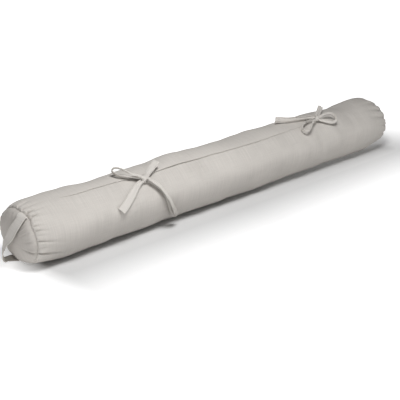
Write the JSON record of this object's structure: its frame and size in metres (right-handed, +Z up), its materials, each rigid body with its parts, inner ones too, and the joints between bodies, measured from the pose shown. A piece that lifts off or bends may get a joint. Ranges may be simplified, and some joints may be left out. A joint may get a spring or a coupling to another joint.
{
  "type": "draught excluder",
  "caption": "Long round filled cloth cushion that lies along the foot of a door, with an overlapping flap tied by tape bows, gathered ends and a hanging loop.",
  "frame": {"origin": "middle of the whole model's box, on the floor that the cushion lies on", "axes": "+X along the cushion away from the end with the hanging loop, -Y towards the side that the flap opens on, +Z up"},
  "size_m": [1.0182, 0.133, 0.1321],
  "materials": {
    "cover_linen": "plain woven greige linen look, matt",
    "end_linen": "plain woven greige linen look, matt",
    "loop_linen": "the cover's cloth folded into a strap, matt",
    "tie_tape": "narrow flat ties of the cover's cloth, matt"
  },
  "bodies": {
    "root": {"cover": "cover_linen", "end_panel_near": "end_linen", "end_panel_far": "end_linen", "hanging_loop": "loop_linen", "tie_near_a": "tie_tape", "tie_near_b": "tie_tape", "tie_far_a": "tie_tape", "tie_far_b": "tie_tape"}
  },
  "joints": []
}
